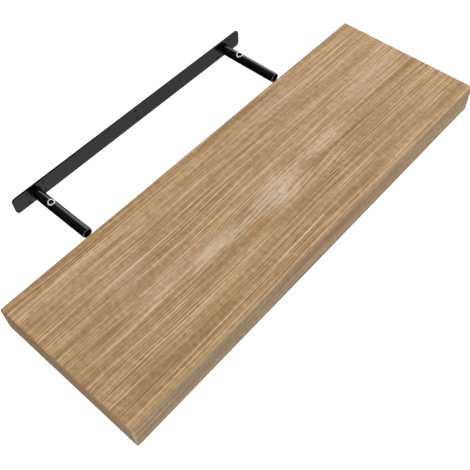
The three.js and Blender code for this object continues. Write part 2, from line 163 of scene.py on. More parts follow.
class ShelfSizes(bpy.types.PropertyGroup):
    """Sizes of the details that the frame's boxes don't give."""

    plate_corner: length("Plate corner", "Radius of the wall plate's corners", 5)
    plate_edge: length("Plate edge", "Rounding of the wall plate's edges under the coat", 0.8)
    hole_diameter: length("Screw hole", "Diameter of the wall-screw holes", 3.2)
    hole_from_edge: length("Hole from edge", "From the plate's long edge to a hole's centre", 5.2)
    hole_from_tube: length("Hole from tube", "From a tube's axis to the holes beside it", 12.6)
    tube_diameter: length("Tube diameter", "Outer diameter of the support tubes", 13.5)
    tube_wall: length("Tube wall", "Wall of the support tubes", 1.5)
    tube_lip: length("Tube lip", "Rounding of the tube's sawn and brushed tip", 0.45)
    bead_depth: length("Bead depth", "How far the weld bead reaches into the tube's wall", 0.4)
    bead_ripple: length("Bead ripple", "Height of the ripples along the weld bead", 0.22)
    bead_ripples: IntProperty(name="Bead ripples", description="Ripples in one bead", default=26, min=3)
    bush_bore: length("Bush bore", "Bore of the lock bushes", 6.4)
    bush_edge: length("Bush edge", "Rounding of the lock bush's rims", 0.3)
    bush_proud: length("Bush proud", "How far the lock bush stands out of the tube", 0.25)
    insert_bore: length("Insert bore", "Bore of the insert nuts between their thread's crests", 6.4)
    insert_body: length("Insert body", "Outer diameter of an insert nut's body", 10)
    insert_flange: length("Insert flange", "Thickness of an insert nut's flange", 1.2)
    insert_lead: length("Insert lead", "Chamfer where the screw enters an insert nut", 0.5)
    thread_pitch: length("Thread pitch", "Pitch of the lock screws and the insert nuts", 1)
    thread_depth: length("Thread depth", "Depth of the lock screws' and insert nuts' threads", 0.5)
    screw_point: length("Screw point", "Height of the lock screw's chamfered ends", 0.8)
    hex_across: length("Hexagon", "Across the flats of the lock screw's socket", 3)
    hex_depth: length("Hexagon depth", "Depth of the lock screw's socket", 3.5)
    foil_thickness: length("Foil", "Thickness of the decor foil", 0.4)
    fold_radius: length("Fold radius", "Radius of the foil's folds along the front", 1.2)
    band_arris: length("Band arris", "Rounding of the long arrises at the board's ends", 2.5)
    flange_gap: length("Flange gap", "Gap in the foil round an insert nut's flange", 0.15)


class ShelfColours(bpy.types.PropertyGroup):
    """Colours of the finishes."""

    oak: colour("Oak", "Ground tone of the printed oak", "b48f63")
    oak_pale: colour("Oak pale", "Pale streaks in the oak print", "e9caa1")
    oak_cream: colour("Oak cream", "Cloudy pale patches in the oak print", "e0c9ab")
    oak_smoky: colour("Oak smoky", "Smoky bands in the oak print", "886338")
    oak_pore: colour("Oak pore", "Pores in the oak print", "654627")
    band: colour("Edge band", "Ground tone of the edge bands' ends", "b6864f")
    fibre: colour("Fibreboard", "Raw edge of the skin panels", "a1835c")
    fibre_dark: colour("Fibreboard flecks", "Dark flecks in the skin panels", "75593a")
    pine: colour("Pine", "Early wood of the frame strips and blocks", "dcbf8d")
    pine_late: colour("Pine late wood", "Late wood lines of the frame strips and blocks", "b98a52")
    kraft: colour("Kraft", "Kraft paper of the honeycomb cores", "a98859")
    powder_coat: colour("Powder coat", "Black powder coat of the wall plate", "0f0f10")
    tube_paint: colour("Tube paint", "Black paint of the support tubes", "0a0a0b")
    zinc: colour("Zinc", "Zinc plating of the bushes and insert nuts", "ececea")
    black_oxide: colour("Black oxide", "Black oxide finish of the lock screws", "3a3a3c")
    paper: colour("Paper", "The studio's paper floor", "e6e6e4")


def socket_of(sockets, key):
    """A node's socket by its number, its identifier or its name."""
    if isinstance(key, int):
        return sockets[key]
    found = [socket for socket in sockets if socket.identifier == key]
    return found[0] if found else sockets[key]


def add_node(tree, kind, inputs=None, out=0, **settings):
    """Adds a shader node with its settings, values and links, and gives back one of its outputs."""
    node = tree.nodes.new("ShaderNode" + kind)
    for key, value in settings.items():
        setattr(node, key, value)
    for key, value in (inputs or {}).items():
        socket = socket_of(node.inputs, key)
        if isinstance(value, bpy.types.NodeSocket):
            tree.links.new(value, socket)
        else:
            socket.default_value = (*value, 1.0) if socket.type == "RGBA" else value
    return socket_of(node.outputs, out) if len(node.outputs) else None


def new_material(name):
    """An empty node material and its tree."""
    material = bpy.data.materials.new(name)
    material.use_nodes = True
    material.node_tree.nodes.clear()
    return material, material.node_tree


def finished(material, inputs, relief=None, depth=0.0):
    """Ends a material in its shader; its relief from 0 to 1 stands up by a depth in metres."""
    tree = material.node_tree
    if relief:
        inputs["Normal"] = add_node(tree, "Bump", {"Height": relief, "Distance": depth}, "Normal")
    add_node(tree, "OutputMaterial", {"Surface": add_node(tree, "BsdfPrincipled", inputs)})
    return material


def streaks(tree, place, along, across, seed, detail=2.0, roughness=0.5):
    """Noise drawn out along the grain: its marks are about `along` by `across` millimetres."""
    scale = (1 / (along * MM), 1 / (across * MM), 1)
    drawn = add_node(tree, "Mapping", {"Vector": place, "Scale": scale, "Location": (seed, seed, seed)})
    return add_node(
        tree, "TexNoise", {"Vector": drawn, "Scale": 1.0, "Detail": detail, "Roughness": roughness}
    )


def sway(tree, place, along, across, seed, reach, detail=1.0):
    """The same noise as a way to either side of zero, `reach` from end to end."""
    noise = streaks(tree, place, along, across, seed, detail)
    return add_node(tree, "Math", {0: noise, 1: reach, 2: -reach / 2}, operation="MULTIPLY_ADD")


def tint(tree, shade, tone, value, low, high, most=1.0, within=None):
    """Lays a tone over a shade: none where the value is low, smoothly up to `most` where it is high.

    Low may be above high. What is given as `within` holds the tone back by its own share.
    """
    limits = {"Value": value, "From Min": low, "From Max": high, "To Max": most}
    share = add_node(tree, "MapRange", limits, interpolation_type="SMOOTHSTEP")
    if within:
        share = add_node(tree, "Math", {0: share, 1: within}, operation="MULTIPLY")
    colours = {"Factor_Float": share, "A_Color": shade, "B_Color": tone}
    return add_node(tree, "Mix", colours, "Result_Color", data_type="RGBA")


def object_place(tree, turn=(0, 0, 0)):
    """The place in the frame, in metres, turned so that a pattern drawn along X runs as wanted."""
    place = add_node(tree, "TexCoord", out="Object")
    return add_node(tree, "Mapping", {"Vector": place, "Rotation": turn})


def facing_along(tree, axis):
    """How far the surface faces along an axis of the frame, either way, from 0 to 1."""
    along = add_node(tree, "SeparateXYZ", {0: add_node(tree, "NewGeometry", out="Normal")}, axis)
    return add_node(tree, "Math", {0: along}, operation="ABSOLUTE")


# Broad marks of the print: along the board and from its back edge, half length and width, all in
# millimetres, and strength. A mark grows from its outline to full strength near its middle
SMOKY_BANDS = (
    (-60, 52, 150, 11, 0.35),
    (-255, 106, 60, 4, 0.5),
    (-120, 133, 90, 5, 0.35),
    (150, 131, 170, 4, 0.45),
    (-30, 95, 60, 5, 0.3),
    (60, 155, 160, 10, 0.3),
    (40, 7, 330, 11, 0.4),
    (0, 68, 320, 12, 0.22),
)
PALE_PATCHES = (
    (12, 121, 62, 21, 0.85),
    (-98, 115, 56, 15, 0.75),
    (-50, 122, 70, 8, 0.65),
    (104, 113, 60, 13, 0.78),
    (60, 117, 70, 5, 0.5),
    (-170, 108, 70, 12, 0.5),
    (-190, 72, 60, 26, 0.28),
    (110, 26, 120, 14, 0.35),
    (225, 90, 90, 26, 0.35),
)
MARK_OUTLINE, MARK_FULL = 1.0, 0.1
# The grain parts round this place, like the water round a stone: laid out as the marks are
EYE = (12, 123, 120, 34, 0.42)
# Waves of the grain to and fro across the sheet: length and width in millimetres, seed and reach
GRAIN_WAVES = ((300, 60, 3.1, 14 * MM), (60, 14, 7.7, 1.6 * MM))
# The short waves that fray the outlines of the pale patches, laid out in the same way
FRAY = (26, 2.6, 51.1, 32 * MM)
# Growth lines: how far apart they lie, and how far their slow beat carries them, as an angle
LINE_PITCH = 4.2 * MM
LINE_BEAT = 26.0


def mark_distance(tree, place, along, across, half_length, half_width):
    """How far a place of the print lies from a broad mark's middle: 1 on the mark's outline."""
    middle = (along * MM, across * MM, 0)
    scale = (1 / (half_length * MM), 1 / (half_width * MM), 0)
    offset = add_node(tree, "VectorMath", {0: place, 1: middle}, operation="SUBTRACT")
    scaled = add_node(tree, "VectorMath", {0: offset, 1: scale}, operation="MULTIPLY")
    return add_node(tree, "VectorMath", {0: scaled}, "Value", operation="LENGTH")


def grain_place(tree, place):
    """The place in the print once the grain's waves and its parting at the eye are in it."""
    *eye, strength = EYE
    limits = {"From Min": MARK_OUTLINE, "From Max": MARK_FULL, "To Max": strength}
    limits["Value"] = mark_distance(tree, place, *eye)
    parting = add_node(tree, "MapRange", limits, interpolation_type="SMOOTHSTEP")
    across = add_node(tree, "SeparateXYZ", {0: place}, "Y")
    from_eye = add_node(tree, "Math", {0: EYE[1] * MM, 1: across}, operation="SUBTRACT")
    moved = add_node(tree, "Math", {0: from_eye, 1: parting}, operation="MULTIPLY")
    for wave in GRAIN_WAVES:
        moved = add_node(tree, "Math", {0: moved, 1: sway(tree, place, *wave)}, operation="ADD")
    shift = add_node(tree, "CombineXYZ", {"Y": moved})
    return add_node(tree, "VectorMath", {0: place, 1: shift}, operation="ADD")


def growth_lines(tree, grain):
    """Near-parallel growth lines from -1 to 1, drawn together and apart by a slow beat."""
    noise = streaks(tree, grain, 260, 9, 88.3, 1.0)
    beat = add_node(tree, "Math", {0: noise, 1: LINE_BEAT}, operation="MULTIPLY")
    across = add_node(tree, "SeparateXYZ", {0: grain}, "Y")
    turns = {0: across, 1: FULL_TURN / LINE_PITCH, 2: beat}
    angle = add_node(tree, "Math", turns, operation="MULTIPLY_ADD")
    return add_node(tree, "Math", {0: angle}, operation="SINE")


def oak_print(tree, colours, place):
    """The printed oak at a place of the sheet in metres: its colour and its relief from 0 to 1."""
    pale, smoky, pore = colours.oak_pale, colours.oak_smoky, colours.oak_pore
    grain = grain_place(tree, place)

    # Painted sheen: the ground is a little paler towards the right
    along = add_node(tree, "SeparateXYZ", {0: place}, "X")
    shade = tint(tree, colours.oak, pale, along, 0.0, 300 * MM, 0.12)
    broad = streaks(tree, grain, 400, 11, 11.3, roughness=0.6)
    shade = tint(tree, shade, smoky, broad, 0.52, 0.32, 0.36)
    shade = tint(tree, shade, pale, broad, 0.52, 0.75, 0.2)

    fray = sway(tree, grain, *FRAY, detail=2.0)
    shift = add_node(tree, "CombineXYZ", {"X": fray, "Y": fray})
    frayed = add_node(tree, "VectorMath", {0: grain, 1: shift}, operation="ADD")
    for marks, tone, spot in ((SMOKY_BANDS, smoky, grain), (PALE_PATCHES, colours.oak_cream, frayed)):
        for *mark, strength in marks:
            distance = mark_distance(tree, spot, *mark)
            shade = tint(tree, shade, tone, distance, MARK_OUTLINE, MARK_FULL, strength)

    # Long lines and growth lines are strong in some places and faint in others. The hairs are drawn
    # 1.3 mm wide, so that they show
    lines = streaks(tree, grain, 400, 1.9, 21.9)
    growth = growth_lines(tree, grain)
    hairs = streaks(tree, grain, 150, 1.3, 77.7)
    figure = streaks(tree, place, 5, 9, 31.3, roughness=0.6)
    limits = {"Value": streaks(tree, grain, 120, 20, 61.7, 1.0), "From Min": 0.3, "From Max": 0.75}
    vigour = add_node(tree, "MapRange", limits, interpolation_type="SMOOTHSTEP")
    # Each tone, its pattern, where it begins and is full, its strength and what holds it back
    for tone, *marking in (
        (pale, lines, 0.54, 0.66, 0.6, vigour),
        (smoky, lines, 0.5, 0.34, 0.4, vigour),
        (pale, growth, 0.6, 0.95, 0.5, vigour),
        (smoky, growth, -0.4, -0.95, 0.34, vigour),
        (pale, hairs, 0.56, 0.66, 0.85),
        (pore, hairs, 0.45, 0.34, 0.32),
        (pale, figure, 0.45, 0.75, 0.22),
        (smoky, figure, 0.5, 0.25, 0.22),
    ):
        shade = tint(tree, shade, tone, *marking)

    limits = {"From Min": 0.58, "From Max": 0.7, "To Max": 0.45}
    limits["Value"] = streaks(tree, grain, 8, 0.8, 43.7, 1.0)
    pores = add_node(tree, "MapRange", limits, interpolation_type="SMOOTHSTEP")
    printed = {"Factor_Float": pores, "A_Color": shade, "B_Color": pore}
    shade = add_node(tree, "Mix", printed, "Result_Color", data_type="RGBA")
    return shade, add_node(tree, "Math", {0: lines, 1: pores}, operation="SUBTRACT")


def oak_decor_foil(colours, fold_places):
    """Printed and embossed PVC decor foil: satin, with fine pores, and pale along its folds, partly
    whitened foil and partly a painted highlight.
    """
    material, tree = new_material("oak_decor_foil")
    place = add_node(tree, "UVMap", uv_map=SHEET_MAP)
    shade, relief = oak_print(tree, colours, place)
    across = add_node(tree, "SeparateXYZ", {0: place}, "Y")
    wear = streaks(tree, place, 14, 3, 57.1)
    # Pale line along each fold: partly the foil whitened by folding, partly a painted highlight of the
    # fold
    for fold in fold_places:
        past = add_node(tree, "Math", {0: across, 1: fold}, operation="SUBTRACT")
        distance = add_node(tree, "Math", {0: past}, operation="ABSOLUTE")
        shade = tint(tree, shade, colours.oak_pale, distance, 1.3 * MM, 0.2 * MM, 0.55, wear)
    limits = {"Value": relief, "From Min": -0.6, "From Max": 0.6, "To Max": 0.62}
    satin = add_node(tree, "MapRange", limits, interpolation_type="SMOOTHSTEP")
    inputs = {"Base Color": shade, "Roughness": satin, "IOR": 1.5, "Specular IOR Level": 0.3}
    return finished(material, inputs, relief, EMBOSSING)


def oak_end_band(colours):
    """ABS edge band with the same print, a little duller, and darker across the end: partly its own tone,
    partly painted shade.
    """
    material, tree = new_material("oak_end_band")
    shade, relief = oak_print(tree, colours, add_node(tree, "UVMap", uv_map=SHEET_MAP))
    sideways = facing_along(tree, "X")
    # The end faces take a darker tone: partly the band's own tone, partly painted shade
    shade = tint(tree, shade, colours.band, sideways, 0.6, 0.98, 0.5)
    # Its own lines run along the end, one above the other
    upright = object_place(tree, (0, -RIGHT_ANGLE, -RIGHT_ANGLE))
    lines = streaks(tree, upright, 160, 3.4, 33.7)
    shade = tint(tree, shade, colours.oak_pore, lines, 0.55, 0.38, 0.4, sideways)
    # Pale where the band turns round the front corner: partly the band stretched pale, partly a painted
    # highlight on the corner
    both_ways = {0: sideways, 1: facing_along(tree, "Y")}
    corner = add_node(tree, "Math", both_ways, operation="MULTIPLY")
    shade = tint(tree, shade, colours.oak_cream, corner, 0.2, 0.45, 0.7)
    return finished(material, {"Base Color": shade, "Roughness": 0.5, "IOR": 1.5}, relief, EMBOSSING)


def wave_scale(spacing):
    """The scale of a wave pattern whose waves lie that far apart."""
    return FULL_TURN / (WAVE_RATE * spacing)


def planed_pine(colours, name, turn):
    """Planed pine: pale early wood with darker late-wood lines, arcs on its end grain, open and dull."""
    material, tree = new_material(name)
    place = object_place(tree, turn)
    shift = add_node(tree, "CombineXYZ", {"Y": sway(tree, place, 160, 22, 5.3, 9 * MM), "Z": PITH_DEPTH})
    from_pith = add_node(tree, "VectorMath", {0: place, 1: shift}, operation="ADD")
    rings = add_node(
        tree,
        "TexWave",
        {"Vector": from_pith, "Scale": wave_scale(RING_SPACING), "Distortion": 0.6, "Detail": 1.0},
        "Fac",
        wave_type="RINGS",
        rings_direction="X",
        wave_profile="SAW",
    )
    fibre = streaks(tree, place, 30, 0.7, 13.9)
    shade = tint(tree, colours.pine, colours.pine_late, rings, 0.5, 1.0, 0.8)
    shade = tint(tree, shade, colours.pine_late, fibre, 0.5, 0.75, 0.35)
    return finished(material, {"Base Color": shade, "Roughness": 0.75, "IOR": 1.5}, fibre, 0.06 * MM)


def raw_fibreboard(colours):
    """Sawn edge of fibreboard: felted brown fibres with dark flecks, dull and furry."""
    material, tree = new_material("raw_fibreboard")
    place = object_place(tree)
    fibres = streaks(tree, place, 2.5, 1.2, 2.7, 3.0, 0.65)
    flecks = streaks(tree, place, 1.6, 1.6, 17.1, 1.0)
    shade = tint(tree, colours.fibre, colours.pine, fibres, 0.35, 0.7, 0.5)
    shade = tint(tree, shade, colours.fibre_dark, flecks, 0.6, 0.75, 0.7)
    return finished(material, {"Base Color": shade, "Roughness": 0.9, "IOR": 1.5}, fibres, 0.15 * MM)


def kraft_cardboard(colours):
    """Kraft paper honeycomb: brown paper with fine flutes across the strip, dull."""
    material, tree = new_material("kraft_cardboard")
    place = object_place(tree)
    paper = streaks(tree, place, 6, 4, 9.1, 3.0)
    flutes = streaks(tree, place, 1.4, 60, 19.3, 1.0)
    shade = tint(tree, colours.kraft, colours.fibre_dark, paper, 0.3, 0.7, 0.4)
    return finished(material, {"Base Color": shade, "Roughness": 0.92, "IOR": 1.45}, flutes, 0.1 * MM)


def powder_coated_steel(colours):
    """Black polyester powder coat: an even near-black with a fine orange peel and a soft satin gloss."""
    material, tree = new_material("powder_coated_steel")
    place = object_place(tree)
    # The real peel is about 0.8 mm across; here it is 1.5 mm, so that it still shows
    peel = streaks(tree, place, 1.5, 1.5, 4.9, 1.0)
    cloud = streaks(tree, place, 40, 18, 6.1)
    shade = tint(tree, colours.powder_coat, COAT_CLOUD, cloud, 0.3, 0.8, 0.12)
    # Painted shade: the plate's edges and the walls of its holes are darkened towards black, and the coat
    # is matt there
    facing = facing_along(tree, "Y")
    limits = {"Value": facing, "From Min": 0.8, "From Max": 0.98, "To Min": 0.07, "To Max": 0.18}
    gloss = add_node(tree, "MapRange", limits, interpolation_type="SMOOTHSTEP")
    shade = tint(tree, shade, BLACK, facing, 0.98, 0.8, 0.8)
    inputs = {"Base Color": shade, "Roughness": 0.2, "IOR": 1.5, "Specular IOR Level": gloss}
    return finished(material, inputs, peel, 0.008 * MM)


def clouded_black(tree, colours, cloud):
    """Black, deeper in some places: the tubes' paint, and the painted shade of the bores."""
    paints = {"Factor_Float": cloud, "A_Color": colours.tube_paint, "B_Color": BLACK}
    return add_node(tree, "Mix", paints, "Result_Color", data_type="RGBA")


def painted_tube(colours):
    """Black enamel on drawn tube: deeper and glossier than the plate, with faint lines along the tube."""
    material, tree = new_material("painted_tube")
    place = object_place(tree, (0, 0, RIGHT_ANGLE))
    drawn = streaks(tree, place, 60, 0.8, 8.3, 1.0)
    cloud = streaks(tree, place, 9, 5, 12.7, 3.0)
    # Painted highlight: the sawn tip, which faces away from the wall, is lightened towards the zinc's
    # tone
    normal = add_node(tree, "NewGeometry", out="Normal")
    towards_wall = add_node(tree, "SeparateXYZ", {0: normal}, "Y")
    shade = clouded_black(tree, colours, cloud)
    shade = tint(tree, shade, colours.zinc, towards_wall, -0.2, -0.6, 0.3)
    limits = {"Value": cloud, "From Min": 0.1, "From Max": 0.9, "To Max": 0.2}
    gloss = add_node(tree, "MapRange", limits, interpolation_type="SMOOTHSTEP")
    inputs = {"Base Color": shade, "Roughness": gloss, "IOR": 1.5, "Specular IOR Level": 0.2}
    return finished(material, inputs, drawn, 0.006 * MM)


def bore_painted_shade(colours):
    """The wall of a bush's bore: painted shade, black and matt, for the shade deep in the narrow bore."""
    material, tree = new_material("bore_painted_shade")
    cloud = streaks(tree, object_place(tree), 2, 1, 27.1)
    limits = {"Value": cloud, "To Max": 0.8}
    dull = add_node(tree, "MapRange", limits, interpolation_type="SMOOTHSTEP")
    shade = clouded_black(tree, colours, cloud)
    inputs = {"Base Color": shade, "Roughness": dull, "IOR": 1.5, "Specular IOR Level": 0.25}
    return finished(material, inputs)


def zinc_plated_steel(colours, lock_y):
    """Turned steel, zinc plated: cool, with faint lathe rings, and dulled evenly by a milky passivate."""
    material, tree = new_material("zinc_plated_steel")
    place = add_node(tree, "TexCoord", out="Object")
    # One pattern serves both sides: it is mirrored, and centred on the lock's axis
    axis = (tube_axis("right"), abs(lock_y), 0)
    mirrored = add_node(tree, "VectorMath", {0: place}, operation="ABSOLUTE")
    centred = add_node(tree, "VectorMath", {0: mirrored, 1: axis}, operation="SUBTRACT")
    # Lathe marks are about 0.1 mm apart; they are drawn 0.4 mm apart, so that they show
    marks = add_node(
        tree,
        "TexWave",
        {"Vector": centred, "Scale": wave_scale(0.4 * MM)},
        "Fac",
        wave_type="RINGS",
        rings_direction="Z",
        wave_profile="SIN",
    )
    cloud = streaks(tree, place, 3, 3, 15.3)
    shade = tint(tree, colours.zinc, ZINC_BLOOM, cloud, 0.4, 0.8, 0.3)
    inputs = {"Base Color": shade, "Metallic": 0.35, "Roughness": 0.5}
    return finished(material, inputs, marks, 0.004 * MM)


def black_oxide_steel(colours):
    """Alloy steel with a black oxide finish: dark, slightly oily metal, rubbed brighter in places."""
    material, tree = new_material("black_oxide_steel")
    wear = streaks(tree, object_place(tree), 2, 2, 10.7, 3.0)
    shade = tint(tree, colours.black_oxide, OXIDE_WORN, wear, 0.5, 0.8, 0.5)
    limits = {"Value": wear, "From Min": -0.2, "From Max": 1.2, "To Max": 0.7}
    oily = add_node(tree, "MapRange", limits, interpolation_type="SMOOTHSTEP")
    return finished(material, {"Base Color": shade, "Metallic": 1.0, "Roughness": oily})


def tube_axis(side):
    """Where a support tube's axis lies along X."""
    low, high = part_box(f"{side}_support_tube")
    return (low.x + high.x) / 2


def as_mesh(shape, name):
    """A mesh of a finished shape."""
    mesh = bpy.data.meshes.new(name)
    shape.to_mesh(mesh)
    shape.free()
    return mesh


def new_object(context, name, data):
    """A new object in the scene."""
    made = bpy.data.objects.new(name, data)
    context.scene.collection.objects.link(made)
    return made


def add_piece(context, name, shape, body, material, nodes=()):
    """Makes a shape a named piece that rides on its body and stands for the nodes."""
    mesh = as_mesh(shape, name)
    mesh.materials.append(material)
    mesh.shade_smooth()
    mesh.set_sharp_from_angle(angle=SMOOTH_ANGLE)
    piece = new_object(context, name, mesh)
    piece.modifiers.new("Even shading", "WEIGHTED_NORMAL").keep_sharp = True
    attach(piece, body)
    if nodes:
        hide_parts(*nodes)
    return piece


def finish_nodes(names, material):
    """Gives CAD nodes their finish."""
    for name in names:
        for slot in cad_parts[name].material_slots:
            slot.material = material


def polyline(shape, points, closed):
    """Vertices joined by edges."""
    verts = [shape.verts.new(point) for point in points]
    ends = zip(verts, verts[1:] + verts[:1]) if closed else zip(verts, verts[1:])
    for first, second in ends:
        shape.edges.new((first, second))
    return verts


def circle(shape, radius, steps, place=Matrix()):
    """Adds the outline of a circle and gives back its edges."""
    made = bmesh.ops.create_circle(shape, cap_ends=False, radius=radius, segments=steps, matrix=place)
    return list(dict.fromkeys(edge for vert in made["verts"] for edge in vert.link_edges))


def pull(shape, extruded, way):
    """Moves what was just extruded and gives back its vertices."""
    verts = [part for part in extruded["geom"] if isinstance(part, bmesh.types.BMVert)]
    bmesh.ops.translate(shape, verts=verts, vec=way)
    return verts


def round_corners(shape, verts, radius, steps=EDGE_STEPS):
    """Rounds corners of a polyline or a flat face."""
    bmesh.ops.bevel(
        shape, geom=verts, offset=radius, affect="VERTICES", segments=steps, profile=0.5, material=-1
    )


def round_edges(shape, edges, radius, steps=EDGE_STEPS):
    """Rounds edges of a solid."""
    bmesh.ops.bevel(
        shape,
        geom=edges,
        offset=radius,
        affect="EDGES",
        segments=steps,
        profile=0.5,
        material=-1,
        clamp_overlap=True,
    )


def turned(profile, rounding=0.0, rounded=(), steps=ROUND_STEPS):
    """A ring turned about Z from a closed profile of (radius, height), some of its corners rounded."""
    shape = bmesh.new()
    verts = polyline(shape, [(radius, 0, height) for radius, height in profile], closed=True)
    if rounded:
        round_corners(shape, [verts[i] for i in rounded], rounding)
    spin(shape, steps)
    return shape


def spin(shape, steps):
    """Turns the shape's edges a full turn about Z and closes the seam."""
    geometry = shape.verts[:] + shape.edges[:]
    bmesh.ops.spin(
        shape, geom=geometry, cent=(0, 0, 0), axis=(0, 0, 1), angle=FULL_TURN, steps=steps, use_merge=True
    )
    bmesh.ops.remove_doubles(shape, verts=shape.verts, dist=MERGE_DISTANCE)
    bmesh.ops.recalc_face_normals(shape, faces=shape.faces)


def move(shape, place, turn=(0, 0, 0)):
    """Turns a shape about the origin by degrees and puts it in its place."""
    matrix = Matrix.Translation(place) @ Euler([math.radians(a) for a in turn]).to_matrix().to_4x4()
    bmesh.ops.transform(shape, matrix=matrix, verts=shape.verts)


def carve(context, shape, tool):
    """Cuts the tool out of a closed shape."""
    solids = [new_object(context, "carving", as_mesh(part, "carving")) for part in (shape, tool)]
    cut = solids[0].modifiers.new("Cut", "BOOLEAN")
    cut.object, cut.operation, cut.solver = solids[1], "DIFFERENCE", "EXACT"
    carved = bmesh.new()
    carved.from_object(solids[0], context.evaluated_depsgraph_get())
    for solid in solids:
        bpy.data.meshes.remove(solid.data)
    return carved


class SHELF_OT_wall_plate(bpy.types.Operator):
    """Wall plate: a flat bar with rounded corners and ten screw holes, its edges softened by the coat"""

    bl_idname = "shelf.wall_plate"
    bl_label = "Wall plate"

    def execute(self, context):
        sizes = context.scene.shelf_sizes
        low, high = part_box("wall_plate")
        size, centre = high - low, (low + high) / 2
        shape = bmesh.new()
        upright = Matrix.Rotation(RIGHT_ANGLE, 4, "X")
        stretched = Matrix.Diagonal((size.x, 1, size.z, 1)) @ upright
        bmesh.ops.create_grid(shape, x_segments=1, y_segments=1, size=0.5, matrix=stretched)
        round_corners(shape, shape.verts[:], sizes.plate_corner, CORNER_STEPS)
        bmesh.ops.delete(shape, geom=shape.faces[:], context="FACES_ONLY")
        rise = size.z / 2 - sizes.hole_from_edge
        columns = [0.0]
        for side in SIDES:
            columns += [tube_axis(side) - sizes.hole_from_tube, tube_axis(side) + sizes.hole_from_tube]
        for x in columns:
            for z in (-rise, rise):
                place = Matrix.Translation((x, 0, z)) @ upright
                circle(shape, sizes.hole_diameter / 2, HOLE_STEPS, place)
        bmesh.ops.triangle_fill(shape, use_beauty=True, use_dissolve=False, edges=shape.edges[:])
        front = bmesh.ops.extrude_face_region(shape, geom=shape.faces[:], use_keep_orig=True)
        pull(shape, front, (0, -size.y, 0))
        move(shape, (centre.x, high.y, centre.z))
        bmesh.ops.recalc_face_normals(shape, faces=shape.faces)
        sharp = [edge for edge in shape.edges if edge.calc_face_angle(0) > SMOOTH_ANGLE]
        round_edges(shape, sharp, sizes.plate_edge)
        material = powder_coated_steel(context.scene.shelf_colours)
        add_piece(context, "coated_plate", shape, "bracket", material, ["wall_plate"])
        return {"FINISHED"}


class SHELF_OT_support_tubes(bpy.types.Operator):
    """Support tubes: drawn steel tubes, open at the tip, with a cross hole for the lock bush"""

    bl_idname = "shelf.support_tubes"
    bl_label = "Support tubes"

    def execute(self, context):
        sizes = context.scene.shelf_sizes
        material = painted_tube(context.scene.shelf_colours)
        radius = sizes.tube_diameter / 2
        bore = radius - sizes.tube_wall
        for side in SIDES:
            low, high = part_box(f"{side}_support_tube")
            bush_low, bush_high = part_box(f"{side}_lock_bush")
            bush_radius = (bush_high.x - bush_low.x) / 2
            reach = high.y - low.y
            profile = [(bore, 0), (radius, 0), (radius, reach), (bore, reach)]
            tube = turned(profile, sizes.tube_lip, rounded=(2, 3))
            move(tube, (tube_axis(side), high.y, 0), (90, 0, 0))
            hole = bmesh.new()
            bmesh.ops.create_cone(
                hole,
                cap_ends=True,
                segments=ROUND_STEPS,
                radius1=bush_radius,
                radius2=bush_radius,
                depth=2 * sizes.tube_diameter,
            )
            move(hole, (tube_axis(side), (bush_low.y + bush_high.y) / 2, 0))
            tube, nodes = carve(context, tube, hole), [f"{side}_support_tube"]
            add_piece(context, f"{side}_tube", tube, "bracket", material, nodes)
        return {"FINISHED"}


class SHELF_OT_weld_beads(bpy.types.Operator):
    """Weld beads: a rippled fillet round the root of each tube, under the coat"""

    bl_idname = "shelf.weld_beads"
    bl_label = "Weld beads"

    def execute(self, context):
        sizes = context.scene.shelf_sizes
        material = bpy.data.materials["powder_coated_steel"]
        tube = sizes.tube_diameter / 2
        inside = tube - sizes.bead_depth
        for side in SIDES:
            low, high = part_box(f"{side}_support_tube")
            leg = (high.x - low.x) / 2 - tube
            profile = [(inside, 0), (tube + leg, 0), (tube, leg), (inside, leg)]
            bead = bmesh.new()
            verts = polyline(bead, [(radius, 0, height) for radius, height in profile], closed=True)
            slope = [edge for edge in verts[1].link_edges if edge in verts[2].link_edges]
            bmesh.ops.subdivide_edges(bead, edges=slope, cuts=FOLD_STEPS)
            for vert in bead.verts:
                round_out(vert, tube, leg)
            spin(bead, ROUND_STEPS * 2)
            for vert in bead.verts:
                ripple(vert, tube, leg, sizes)
            bmesh.ops.recalc_face_normals(bead, faces=bead.faces)
            move(bead, (tube_axis(side), high.y, 0), (90, 0, 0))
            add_piece(context, f"{side}_weld_bead", bead, "bracket", material)
        return {"FINISHED"}


def round_out(vert, tube, leg):
    """Moves a point of the bead's slope out onto the quarter round of the bead."""
    across, up = vert.co.x - tube, vert.co.z
    if across < TOUCH or up < TOUCH:
        return
    stretch = leg / math.hypot(across, up)
    vert.co.x, vert.co.z = tube + across * stretch, up * stretch


def ripple(vert, tube, leg, sizes):
    """Draws a point of the bead in between two ripples, most at the middle of the slope."""
    radius = math.hypot(vert.co.x, vert.co.y)
    out, up = radius - tube, vert.co.z
    if out < TOUCH or up < TOUCH:
        return
    angle = math.atan2(vert.co.y, vert.co.x) + up / leg / sizes.bead_ripples
    valley = abs(math.cos(angle * sizes.bead_ripples / 2)) ** RIPPLE_SHARPNESS
    depth = valley * sizes.bead_ripple * 4 * out * up / leg**2
    shrink = (radius - depth / 2) / radius
    vert.co.x, vert.co.y, vert.co.z = vert.co.x * shrink, vert.co.y * shrink, up - depth / 2


